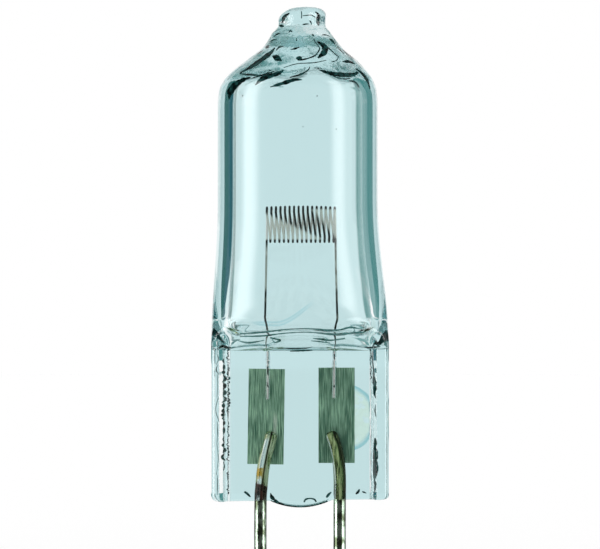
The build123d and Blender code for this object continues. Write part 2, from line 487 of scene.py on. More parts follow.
@dataclass(frozen=True)
class TungstenFinish:
    """Drawn tungsten wire, darkened where it has run hot, with painted shade on the bends of the coil,
    painted light on its strands, and a painted sheen with dark flecks that makes it silvery where the seal
    keeps it.
    """

    name: str = "drawn_tungsten"
    bright: Colour = (0.30, 0.29, 0.24, 1.0)
    dark: Colour = (0.018, 0.017, 0.013, 1.0)
    # Painted sheen on the legs in the seal, with painted dark flecks
    sealed_sheen: Colour = (0.92, 0.92, 0.88, 1.0)
    painted_dark_flecks: Colour = (0.012, 0.016, 0.012, 1.0)
    # Painted light: near white on the back strands, pale on the front ones
    rear_light: Colour = (0.88, 0.97, 0.93, 1.0)
    front: Colour = (0.55, 0.64, 0.57, 1.0)
    stains: Pattern = Pattern(2.6, 0.35)
    stain_edge: Span = (0.3, 0.55)
    flakes: Pattern = Pattern(3.4, 0.5, 2.0)
    flake_edge: Span = (0.52, 0.57)
    # Heights along the wire
    seal_top: Span = (11.9, 12.4)
    worn_z: Band = (16.9, 20.3, 0.3)
    coil_foot: Span = (19.5, 20.0)
    strand_z: Band = (20.8, 23.17, 0.1)
    # The burnt stripe that crosses the coil, between two slanting lines
    burnt_foot: Span = (21.4, 21.8)
    burnt_foot_lean: float = 0.45
    burnt_top: Span = (24.0, 24.7)
    burnt_top_lean: float = 1.19
    # The strands at the back (painted light), the worn legs, the ends in the seal (painted sheen) and the
    # roughness
    rear_y: Span = (0.1, 0.4)
    worn_edge: Span = (0.2, 0.8)
    worn_share: float = 0.7
    sealed_dulling: float = 0.9
    roughness: float = 0.25
    stain_roughness: float = 0.25

    def material(self) -> bpy.types.Material:
        """Make the material."""
        material, graph = new_material(self.name)
        x, depth, height = graph.axes(graph.millimetres(), "XYZ")
        stain = graph.speckle(self.stains).eased(*self.stain_edge)
        flake = graph.speckle(self.flakes).eased(*self.flake_edge)
        # Where the seal holds the legs, which get the painted sheen
        sealed_sheen = 1 - height.eased(*self.seal_top)
        coil = height.eased(*self.coil_foot)
        # Painted shade on the bends at the top and the bottom of the coil
        knuckle_shade = (1 - height.band(*self.strand_z)) * coil
        burnt = (height + x * self.burnt_foot_lean).eased(*self.burnt_foot)
        burnt = burnt * (1 - (height + x * self.burnt_top_lean).eased(*self.burnt_top))
        strand = coil * (1 - knuckle_shade)
        # Painted light on the back strands
        rear_light = depth.eased(*self.rear_y) * strand
        worn = height.band(*self.worn_z) * stain.eased(*self.worn_edge) * self.worn_share
        # Painted light on the front strands where they are not burnt, and wear on the legs
        pale = strand * (1 - burnt) * (1 - rear_light) + worn * (1 - strand)
        # Dark where stained or burnt, with painted shade on the bends
        front = graph.blend(stain * (1 - coil) + knuckle_shade + burnt, self.bright, self.dark)
        free_colour = graph.blend(rear_light, graph.blend(pale, front, self.front), self.rear_light)
        # Painted sheen, with painted dark flecks, on the legs in the seal
        sealed_sheen_colour = graph.blend(flake, self.sealed_sheen, self.painted_dark_flecks)
        graph.close(
            {
                "Base Color": graph.blend(sealed_sheen, free_colour, sealed_sheen_colour),
                "Metallic": (1 - sealed_sheen * self.sealed_dulling) * (1 - rear_light) * (1 - pale),
                "Roughness": stain * self.stain_roughness + self.roughness,
            }
        )
        return material


@dataclass(frozen=True)
class FoilFinish:
    """Rolled molybdenum strip with grain along its length, a shaded place and a lighter patch."""

    side: Side
    pale: Colour = (0.50, 0.84, 0.58, 1.0)
    deep: Colour = (0.05, 0.165, 0.098, 1.0)
    light_patch: Colour = (0.85, 0.95, 0.82, 1.0)
    grain: Pattern = Pattern(16.0, 0.04, 4.0)
    clouds: Pattern = Pattern(0.7, 0.5)
    cloud_share: float = 0.3
    tone_edge: Span = (0.34, 0.7)
    right_tone: float = 0.045
    shade_left_x: Band = (-2.2, -1.7, 0.25)
    shade_right_x: Band = (3.2, 3.7, 0.25)
    shade_z: Band = (3.3, 4.9, 0.5)
    shade_tone: float = 0.16
    patch_x: Band = (-2.1, -1.9, 0.14)
    patch_z: Band = (4.8, 6.6, 0.5)
    patch_edge: Span = (0.3, 0.6)
    metallic: float = 0.1
    roughness: float = 0.4
    grain_roughness: float = 0.2
    grain_height: float = 0.01
    grain_strength: float = 0.25

    def material(self) -> bpy.types.Material:
        """Make the material."""
        material, graph = new_material(f"{self.side.label}_rolled_molybdenum")
        x, z = graph.axes(graph.millimetres(), "XZ")
        grain = graph.speckle(self.grain)
        cloud = graph.speckle(self.clouds)
        right = self.side is Side.RIGHT
        shade = x.band(*(self.shade_right_x if right else self.shade_left_x)) * z.band(*self.shade_z)
        tone = grain * (1 - self.cloud_share) + cloud * self.cloud_share - shade * self.shade_tone
        tone = (tone - (self.right_tone if right else 0.0)).eased(*self.tone_edge)
        # A lighter patch on the left foil, near the top of the pin
        patch = x.band(*self.patch_x) * z.band(*self.patch_z) * grain.eased(*self.patch_edge)
        graph.close(
            {
                "Base Color": graph.blend(patch, graph.blend(tone, self.deep, self.pale), self.light_patch),
                "Metallic": self.metallic,
                "Roughness": grain * self.grain_roughness + self.roughness,
                "Normal": graph.bump(grain, self.grain_height, self.grain_strength),
            }
        )
        return material


@dataclass(frozen=True)
class PinFinish:
    """Drawn pin wire: dull and mottled in the open, streaked and heat-stained inside the glass, with painted
    highlight strips and painted shade there.
    """

    side: Side
    open_pale: Colour = (0.56, 0.72, 0.57, 1.0)
    open_dark: Colour = (0.10, 0.125, 0.075, 1.0)
    silver_highlight: Colour = (0.97, 0.98, 0.93, 1.0)
    olive: Colour = (0.23, 0.29, 0.11, 1.0)
    dull: Colour = (0.68, 0.68, 0.45, 1.0)
    # Dark tone of the right pin, also used for painted shade on both pins
    dark_tone_and_shade: Colour = (0.03, 0.035, 0.015, 1.0)
    brass: Colour = (0.66, 0.66, 0.32, 1.0)
    gold: Colour = (0.62, 0.38, 0.07, 1.0)
    stain: Colour = (0.07, 0.022, 0.016, 1.0)
    soot: Colour = (0.012, 0.009, 0.008, 1.0)
    streaks: Pattern = Pattern(5.0, 0.09)
    hairs: Pattern = Pattern(9.0, 0.06)
    mottle: Pattern = Pattern(2.2, 0.45, 4.0)
    blotches: Pattern = Pattern(1.1)
    flecks: Pattern = Pattern(3.2)
    blotch_sway: float = 1.2
    fleck_sway: float = 1.4
    # Each pin's middle line across the seal: its place at the foot, its lean and its bend
    left_line: tuple[float, float, float] = (-3.16, 0.075, 0.0175)
    right_line: tuple[float, float, float] = (3.18, 0.1, -0.0445)
    # Stripes along the left pin: a painted highlight strip, olive streaks and a painted dark reflection line
    left_highlight_strip: Band = (-0.4, -0.08, 0.05)
    left_highlight_top: Span = (4.6, 5.0)
    left_streak: Span = (0.34, 0.54)
    left_painted_dark_line: Band = (-0.06, 0.1, 0.05)
    # Stripes along the right pin: a thin painted highlight strip, brassy streaks and painted shade down its
    # right side
    right_highlight_strip: Band = (-0.47, -0.36, 0.04)
    right_hair: Span = (0.44, 0.56)
    right_brass: Band = (-0.32, 0.12, 0.08)
    right_streak: Span = (0.44, 0.54)
    right_painted_shade: Span = (0.1, 0.3)
    right_painted_shade_streak: Span = (0.3, 0.5)
    # Heat stains above the foot of the glass
    gold_z: Band = (1.85, 2.55, 0.2)
    gold_edge: Span = (-0.15, 0.05)
    burn_z: Band = (0.1, 1.15, 0.2)
    left_burn: float = 0.95
    right_burn: float = 0.25
    soot_edge: Span = (0.42, 0.58)
    # The bare wire below the glass, and the roughness
    open_edge: Span = (0.38, 0.62)
    glass_foot: Span = (-0.1, 0.1)
    roughness: float = 0.1
    streak_roughness: float = 0.2
    mottle_roughness: float = 0.15

    def left_body(self, graph: Graph, across: Sock, height: Sock, streak: Sock) -> Sock:
        """Colour of the left pin inside the glass: dull, with a painted dark reflection line and a bright
        painted highlight strip.
        """
        # Painted highlight: a bright strip down the left side of the left pin
        strip = across.band(*self.left_highlight_strip) * (1 - height.eased(*self.left_highlight_top))
        body = graph.blend(streak.eased(*self.left_streak), self.olive, self.dull)
        # Painted shade: a dark reflection line down the middle of the left pin
        body = graph.blend(across.band(*self.left_painted_dark_line), body, self.dark_tone_and_shade)
        return graph.blend(strip, body, self.silver_highlight)

    def right_body(self, graph: Graph, across: Sock, streak: Sock) -> Sock:
        """Colour of the right pin inside the glass: dark, with a brassy middle, painted shade down its right
        side and a thin bright painted highlight strip.
        """
        hair = graph.speckle(self.hairs).eased(*self.right_hair)
        shine = streak.eased(*self.right_streak) * across.band(*self.right_brass)
        # Painted shade down the right side of the right pin
        dark_tone_and_shade = across.eased(*self.right_painted_shade) * streak.eased(*self.right_painted_shade_streak)
        body = graph.blend(hair, self.dark_tone_and_shade, self.olive)
        body = graph.blend(shine, body, self.brass)
        body = graph.blend(dark_tone_and_shade, body, self.dark_tone_and_shade)
        # Painted highlight: a thin bright strip down the left edge of the right pin
        return graph.blend(across.band(*self.right_highlight_strip), body, self.silver_highlight)

    def material(self) -> bpy.types.Material:
        """Make the material."""
        material, graph = new_material(f"{self.side.label}_pin_wire")
        left = self.side is Side.LEFT
        x, height = graph.axes(graph.millimetres(), "XZ")
        foot, lean, bend = self.left_line if left else self.right_line
        across = x - foot - height * lean - height * height * bend
        streak = graph.speckle(self.streaks)
        mottle = graph.speckle(self.mottle)
        blotch = (graph.speckle(self.blotches) - NOISE_MIDDLE) * self.blotch_sway
        ragged = height + blotch + (graph.speckle(self.flecks) - NOISE_MIDDLE) * self.fleck_sway
        if left:
            covered = self.left_body(graph, across, height, streak)
            gilding = ragged.band(*self.gold_z) * (1 - across.eased(*self.gold_edge))
            covered = graph.blend(gilding, covered, self.gold)
        else:
            covered = self.right_body(graph, across, streak)
        burn = ragged.band(*self.burn_z) * (self.left_burn if left else self.right_burn)
        burnt = graph.blend(mottle.eased(*self.soot_edge), self.soot, self.stain)
        covered = graph.blend(burn, covered, burnt)
        bare = graph.blend(mottle.eased(*self.open_edge), self.open_dark, self.open_pale)
        roughness = streak * self.streak_roughness + mottle * self.mottle_roughness + self.roughness
        graph.close(
            {
                "Base Color": graph.blend(height.eased(*self.glass_foot), bare, covered),
                "Metallic": 1.0,
                "Roughness": roughness,
            }
        )
        return material


@dataclass(frozen=True)
class PaintedShadeFinish:
    """Painted shade: the dark skin of the leaves set in the glass, blue-green in the lines over the hollow's
    floor.
    """

    name: str = "painted_shade_leaf"
    # Painted shade: nearly black, paler blue-green in places, and blue-green in the lines over the hollow's
    # floor
    deep: Colour = (0.004, 0.014, 0.013, 1.0)
    pale: Colour = (0.025, 0.11, 0.105, 1.0)
    wall: Colour = (0.11, 0.3, 0.29, 1.0)
    clouds: Pattern = Pattern(2.4)
    pale_edge: Span = (0.4, 0.62)
    wall_x: Band = (-5.4, 5.4, 0.1)
    wall_z: Band = (12.45, 14.3, 0.05)
    wall_edge: Span = (0.3, 0.5)
    roughness: float = 0.6

    def material(self) -> bpy.types.Material:
        """Make the material."""
        material, graph = new_material(self.name)
        x, z = graph.axes(graph.millimetres(), "XZ")
        cloud = graph.speckle(self.clouds)
        wall = z.band(*self.wall_z) * x.band(*self.wall_x) * cloud.eased(*self.wall_edge)
        fold = graph.blend(cloud.eased(*self.pale_edge), self.deep, self.pale)
        colour = graph.blend(wall, fold, self.wall)
        graph.close({"Base Color": colour, "Roughness": self.roughness, "Specular IOR Level": 0.0})
        return material


@dataclass(frozen=True)
class Seam:
    """A leaf of painted shade in the glass: a thin leaf through points of a place across, a height and a half
    width.
    """

    points: tuple[tuple[float, float, float], ...]
    stations: int = 8
    spokes: int = 10
    flatness: float = 0.2
    rough: float = 0.35
    rough_scale: float = 4.0
    thinnest: float = 0.015

    def skin(self, depth: Callable[[float, float], float]) -> bmesh.types.BMesh:
        """Make the leaf.

        Args:
            depth: Gives the place through the glass for a place across it and a height.

        Returns:
            The leaf as a closed mesh.
        """
        across, height, width = (Profile(tuple(enumerate(values))) for values in zip(*self.points))
        places = [i / self.stations for i in range(self.stations * (len(self.points) - 1) + 1)]
        path = [Vector((across.at(place), 0.0, height.at(place))) for place in places]
        rough = [1 + self.rough * noise.noise(spot * self.rough_scale) for spot in path]
        reach = [max(width.at(place) * factor, self.thinnest) for place, factor in zip(places, rough)]
        leaf = sweep_tube(path, lambda index: reach[index], self.spokes)
        for vert in leaf.verts:
            vert.co.y = vert.co.y * self.flatness + depth(vert.co.x, vert.co.z)
        return leaf


@dataclass
class QuartzEnvelope:
    """The glass: a tube with a sealed crown, pressed flat at its foot, round a hollow."""

    # The round tube and its flare
    tube_radius: float = 6.415
    tube_wall: float = 1.18
    tube_x: float = -0.18
    tube_top: float = 31.6
    flare_top: float = 24.0
    flank_power: float = 4.0
    # The pressed seal and its rails
    seal_height: float = 12.2
    seal_half_width: float = 7.1
    seal_fillet: float = 0.2
    press_height: float = 2.4
    rail_half_thickness: float = 2.0
    rail_edge_radius: float = 0.55
    rail_inner_x: float = 5.7
    rail_face_inset: float = 0.3
    rail_slope_left: float = 0.92
    rail_slope_right: float = 0.5
    rail_slope_wobble: float = 0.03
    rail_wobble: float = 0.004
    rail_step: float = 0.05
    rail_step_width: float = 0.16
    rail_step_wobble: float = 0.15
    web_recess: float = 0.8
    web_full_y: float = 1.0
    web_fade: Span = (-0.4, 1.1)
    mark: PressMark = PressMark()
    # Shares of a quarter turn where the side, the corner and the rail end in the seal's outline
    side_share: float = 0.12
    corner_share: float = 0.32
    rail_share: float = 0.66
    # Noise along the rails: its place on each side and face, and its scales
    noise_x: float = 3.0
    noise_y: float = 2.0
    wander_scale: float = 1.9
    wander_fine: float = 0.6
    wander_fine_scale: float = 5.3
    slope_scale: float = 1.3
    slope_seed: float = 9.0
    # The lower edge, with the tongue between the pins
    foot_left_z: float = -0.2
    foot_right_z: float = 0.0
    foot_left_radius: float = 0.6
    foot_right_radius: float = 0.4
    foot_gap: float = 0.05
    foot_fade_top: float = 2.4
    tongue_x: float = 0.07
    tongue_half_width: float = 2.45
    tongue_depth: float = 0.54
    tongue_front_radius: float = 0.04
    tongue_back_radius: float = 0.38
    tongue_blend: float = 0.3
    # The hollow and its floor
    hollow_depth: Profile = Profile(
        (
            (12.0, 0.0),
            (12.12, 0.25),
            (12.5, 0.9),
            (13.0, 1.62),
            (13.5, 2.38),
            (14.5, 3.33),
            (16.0, 4.3),
            (18.0, 4.95),
            (20.0, 5.18),
            (24.0, 5.235),
        )
    )
    floor_half_width: float = 5.8
    floor_z: float = 12.0
    floor_hump: float = 0.25
    floor_hump_half_width: float = 5.0
    floor_fade: Span = (0.3, 1.6)
    leg_dip: float = 0.3
    leg_dip_width: float = 0.45
    leg_x: float = 2.75
    crease_z: float = 13.45
    crease_arch: float = 0.3
    crease_back_drop: float = 0.3
    crease_depth: float = 0.14
    crease_width: float = 0.1
    # The crown and the ceiling of the hollow
    tip_z: float = 39.44
    crown_radius: Profile = Profile(
        (
            (31.6, 6.415),
            (32.3, 6.36),
            (33.02, 6.22),
            (33.7, 5.86),
            (34.2, 5.42),
            (35.08, 4.5),
            (35.6, 3.86),
            (36.2, 3.16),
            (36.9, 2.62),
            (37.4, 2.28),
            (37.75, 2.0),
            (38.3, 1.92),
            (38.8, 1.74),
            (39.17, 1.38),
            (39.36, 0.85),
            (39.44, 0.0),
        )
    )
    crown_sway: Profile = Profile(
        (
            (31.6, -0.18),
            (33.0, -0.16),
            (34.2, -0.03),
            (35.1, 0.14),
            (36.5, 0.2),
            (38.2, 0.14),
            (39.17, 0.4),
            (39.44, 0.5),
        )
    )
    crown_lump: Profile = Profile(
        ((33.5, 0.0), (35.5, 0.096), (37.2, 0.256), (38.6, 0.224), (39.3, 0.16))
    )
    lump_scale: float = 1.3
    lump_height_scale: float = 0.75
    lump_full_radius: float = 1.0
    ceiling_radius: Profile = Profile(
        (
            (0.0, 5.235),
            (0.1, 5.2),
            (0.2, 5.12),
            (0.3, 4.9),
            (0.4, 4.5),
            (0.5, 3.8),
            (0.65, 2.6),
            (0.8, 1.4),
            (1.0, 0.0),
        )
    )
    ceiling_height: Profile = Profile(
        (
            (0.0, 31.6),
            (0.1, 32.16),
            (0.2, 32.65),
            (0.3, 33.08),
            (0.4, 33.42),
            (0.5, 33.68),
            (0.65, 33.9),
            (0.8, 34.05),
            (1.0, 34.1),
        )
    )
    ceiling_sway: Profile = Profile(((0.0, -0.18), (0.4, -0.1), (0.7, 0.4), (1.0, 0.6)))
    ceiling_lump: float = 0.5
    ceiling_lump_start: Span = (0.25, 0.5)
    ceiling_scale_x: float = 0.5
    ceiling_scale_y: float = 0.35
    ceiling_seed: float = 3.0
    # Spokes and rings of the two skins
    spokes: int = 272
    hollow_spokes: int = 144
    foot_spreads: tuple[float, ...] = (0.0, 0.35, 0.7, 0.92)
    foot_round_rings: int = 8
    shoulder_low: float = 11.2
    shoulder_high: float = 14.6
    floor_high: float = 14.2
    seal_rings: int = 84
    shoulder_rings: int = 36
    floor_rings: int = 48
    flare_rings: int = 26
    tube_rings: int = 8
    crown_rings: int = 84
    ceiling_rings: int = 60

    def foot_share(self, x: float) -> float:
        """Share of the way from the seal's left edge to its right."""
        return (x + self.seal_half_width) / (2 * self.seal_half_width)

    def tongue(self, x: float) -> float:
        """1 at the middle of the tongue, 0 at its ends and less beyond them."""
        off = (x - self.tongue_x) / self.tongue_half_width
        return 1 - off * off

    def foot_z(self, x: float) -> float:
        """Height of the glass's lower edge at a place across the seal."""
        edge = mix(self.foot_left_z, self.foot_right_z, self.foot_share(x))
        return edge - self.tongue_depth * max(self.tongue(x), 0.0)

    def foot_radius(self, x: float, y: float) -> float:
        """Radius of the rounding along the lower edge, which is sharp in front of the tongue."""
        edge = mix(self.foot_left_radius, self.foot_right_radius, self.foot_share(x))
        tongue = self.tongue_back_radius if y > 0 else self.tongue_front_radius
        return mix(edge, tongue, ease(0.0, self.tongue_blend, self.tongue(x)))

    def seal_outline(self, angle: float) -> tuple[float, float]:
        """Outline of the pressed seal before its faces are hollowed.

        Args:
            angle: Angle of the spoke.

        Returns:
            Place across and through the seal.
        """
        radius = self.rail_edge_radius
        flat_x = self.seal_half_width - radius
        flat_y = self.rail_half_thickness - radius
        rail_x = self.rail_inner_x - self.rail_face_inset
        turn = math.atan2(abs(math.sin(angle)), abs(math.cos(angle))) / (math.pi / 2)
        if turn < self.side_share:
            x, y = self.seal_half_width, flat_y * turn / self.side_share
        elif turn < self.corner_share:
            bend = (turn - self.side_share) / (self.corner_share - self.side_share) * math.pi / 2
            x, y = flat_x + radius * math.cos(bend), flat_y + radius * math.sin(bend)
        elif turn < self.rail_share:
            along = (turn - self.corner_share) / (self.rail_share - self.corner_share)
            x, y = mix(flat_x, rail_x, along), self.rail_half_thickness
        else:
            x, y = rail_x * (1 - turn) / (1 - self.rail_share), self.rail_half_thickness
        return math.copysign(x, math.cos(angle)), math.copysign(y, math.sin(angle))

    def flare(self, height: float) -> float:
        """Share of the way from the round tube down to the flat seal, eased into the seal."""
        above = height - self.seal_height
        climb = (above + math.hypot(above, self.seal_fillet)) / 2
        return min(max(1 - climb / (self.flare_top - self.seal_height), 0.0), 1.0)

    def widening(self, height: float) -> float:
        """Share of the way from the tube's width out to the seal's."""
        return math.sin(self.flare(height) * math.pi / 2) ** 2

    def half_width(self, height: float) -> float:
        """Half the width of the glass at a height."""
        return mix(self.tube_radius, self.seal_half_width, self.widening(height))

    def half_depth(self, height: float) -> float:
        """Half the depth of the glass at a height."""
        return mix(self.tube_radius, self.rail_half_thickness, self.flare(height) ** self.flank_power)

    def sway(self, height: float) -> float:
        """How far the tube's middle stands beside the seal's."""
        return self.tube_x * ease(self.seal_height, self.flare_top, height)

    def recess(self, x: float, y: float, height: float) -> float:
        """Depth of the pressed hollow in the seal's faces.

        Args:
            x: Place across the seal.
            y: Place through the seal.
            height: Height on the seal.

        Returns:
            How far the face lies inside the rails.
        """
        spot = Vector((math.copysign(self.noise_x, x), math.copysign(self.noise_y, y), height))
        wander = noise.noise(spot * self.wander_scale)
        wander += self.wander_fine * noise.noise(spot * self.wander_fine_scale)
        waver = noise.noise(spot * self.slope_scale + Vector((self.slope_seed, 0.0, 0.0)))
        slope = self.rail_slope_left if x < 0 else self.rail_slope_right
        slope *= 1 + self.rail_slope_wobble * waver
        edge = self.rail_inner_x + self.rail_wobble * wander
        step = ease(edge - self.rail_step_width, edge, abs(x)) * self.rail_step
        step *= 1 + self.rail_step_wobble * wander
        inner = 1 - ease(edge, edge + slope, abs(x))
        low, high = (self.seal_height + rise for rise in self.web_fade)
        depth = max(self.web_recess * inner - step, 0.0) * (1 - ease(low, high, height))
        if y > 0:
            depth += self.mark.dent(x, height) * inner
        return depth

    def section(self, angle: float, height: float) -> Vector:
        """Point on the outside of the glass below the crown.

        Args:
            angle: Angle of the spoke.
            height: Height of the ring.

        Returns:
            The point.
        """
        half_depth = self.half_depth(height)
        pressed = 1 - ease(self.seal_height, self.seal_height + self.press_height, height)
        seal_x, seal_y = self.seal_outline(angle)
        seal_y *= half_depth / self.rail_half_thickness
        x = mix(self.half_width(height) * math.cos(angle), seal_x, pressed)
        y = mix(half_depth * math.sin(angle), seal_y, pressed)
        y -= math.copysign(self.recess(x, y, height) * min(abs(y) / self.web_full_y, 1.0), y)
        return Vector((x + self.sway(height), y, height))

    def crown_reach(self, angle: float, height: float) -> float:
        """Radius of the lumpy crown at an angle and a height."""
        reach = self.crown_radius.at(height)
        x, y = math.cos(angle) * self.lump_scale, math.sin(angle) * self.lump_scale
        lump = self.crown_lump.at(height) * noise.noise(Vector((x, y, height * self.lump_height_scale)))
        return reach + lump * min(reach / self.lump_full_radius, 1.0)

    def outside(self) -> bmesh.types.BMesh:
        """Outer skin of the glass, from the foot up to the tip."""
        start = self.foot_left_radius + self.foot_gap
        turns = [*steps(0.0, math.pi / 2, self.foot_round_rings), math.pi / 2]
        foot = [(spread, 0.0) for spread in self.foot_spreads] + [(1.0, turn) for turn in turns]
        heights = steps(start, self.shoulder_low, self.seal_rings)
        heights += steps(self.shoulder_low, self.shoulder_high, self.shoulder_rings)
        heights += steps(self.shoulder_high, self.flare_top, self.flare_rings)
        heights += steps(self.flare_top, self.tube_top, self.tube_rings)
        heights += [*steps(self.tube_top, self.tip_z, self.crown_rings), self.tip_z]
        foot_rings = len(foot)

        def foot_place(angle: float, ring: int) -> Vector:
            """Place of a vertex under the seal or on its rounded lower edge."""
            spread, turn = foot[ring]
            point = self.section(angle, start)
            radius = self.foot_radius(point.x, point.y)
            inset = radius * (1 - math.sin(turn))
            ends = ease(self.rail_inner_x, self.seal_half_width, abs(point.x))
            point.x -= math.copysign(inset * ends, point.x)
            point.y = math.copysign(max(abs(point.y) - inset, 0.0) * spread, point.y)
            point.z = self.foot_z(point.x) + radius * (1 - math.cos(turn))
            return point

        def crown_place(angle: float, height: float) -> Vector:
            """Place of a vertex on the crown."""
            reach = self.crown_reach(angle, height)
            sway = self.crown_sway.at(height)
            return Vector((sway + reach * math.cos(angle), reach * math.sin(angle), height))

        def place(angle: float, ring: int) -> Vector:
            """Place of a vertex anywhere on the outside."""
            if ring < foot_rings:
                return foot_place(angle, ring)
            height = heights[ring - foot_rings]
            if height >= self.tube_top:
                return crown_place(angle, height)
            point = self.section(angle, height)
            point.z += self.foot_z(point.x) * (1 - ease(start, self.foot_fade_top, height))
            return point

        return shape_tube(unit_tube(self.spokes, foot_rings + len(heights)), place)

    def hollow(self) -> bmesh.types.BMesh:
        """Inner skin of the glass, with its faces towards the hollow."""
        heights = steps(self.floor_z, self.floor_high, self.floor_rings)
        heights += steps(self.floor_high, self.flare_top, self.flare_rings)
        heights += steps(self.flare_top, self.tube_top, self.tube_rings)
        ceiling = [*steps(0.0, 1.0, self.ceiling_rings), 1.0]
        tube_reach = self.tube_radius - self.tube_wall
        floor_low, floor_high = (self.floor_z + rise for rise in self.floor_fade)

        def flank_place(angle: float, height: float) -> Vector:
            """Place of a vertex on the wall or the floor of the hollow."""
            x = mix(tube_reach, self.floor_half_width, self.widening(height)) * math.cos(angle)
            across = 1 - (x / self.floor_hump_half_width) ** 2
            drop = self.crease_back_drop if math.sin(angle) > 0 else 0.0
            crease = self.crease_z + self.crease_arch * across - drop
            depth = self.hollow_depth.at(height)
            depth -= self.crease_depth * math.exp(-(((height - crease) / self.crease_width) ** 2))
            dip = self.leg_dip * math.exp(-(((abs(x) - self.leg_x) / self.leg_dip_width) ** 2))
            lift = (self.floor_hump * across - dip) * (1 - ease(floor_low, floor_high, height))
            return Vector((x + self.sway(height), max(depth, 0.0) * math.sin(angle), height + lift))

        def ceiling_place(angle: float, share: float) -> Vector:
            """Place of a vertex on the ceiling of the hollow."""
            reach = self.ceiling_radius.at(share)
            x, y = reach * math.cos(angle), reach * math.sin(angle)
            spot = Vector((x * self.ceiling_scale_x, y * self.ceiling_scale_y, self.ceiling_seed))
            lift = self.ceiling_lump * noise.noise(spot) * ease(*self.ceiling_lump_start, share)
            return Vector((self.ceiling_sway.at(share) + x, y, self.ceiling_height.at(share) + lift))

        def place(angle: float, ring: int) -> Vector:
            """Place of a vertex anywhere on the hollow."""
            if ring < len(heights):
                return flank_place(angle, heights[ring])
            return ceiling_place(angle, ceiling[ring - len(heights)])

        skin = shape_tube(unit_tube(self.hollow_spokes, len(heights) + len(ceiling)), place)
        bmesh.ops.reverse_faces(skin, faces=skin.faces[:])
        return skin

    def build(self, channels: list[bmesh.types.BMesh]) -> bpy.types.Object:
        """Make the glass.

        Args:
            channels: Air gaps in the seal, as skins that face their own inside.

        Returns:
            The finished piece, which stands for the CAD envelope.
        """
        glass = make_piece("quartz_glass", [self.outside(), self.hollow(), *channels])
        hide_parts("quartz_envelope")
        return glass

    def dress(self, glass: bpy.types.Object) -> None:
        """Give the glass its finish."""
        glass.data.materials.append(QuartzFinish(self.mark).material())


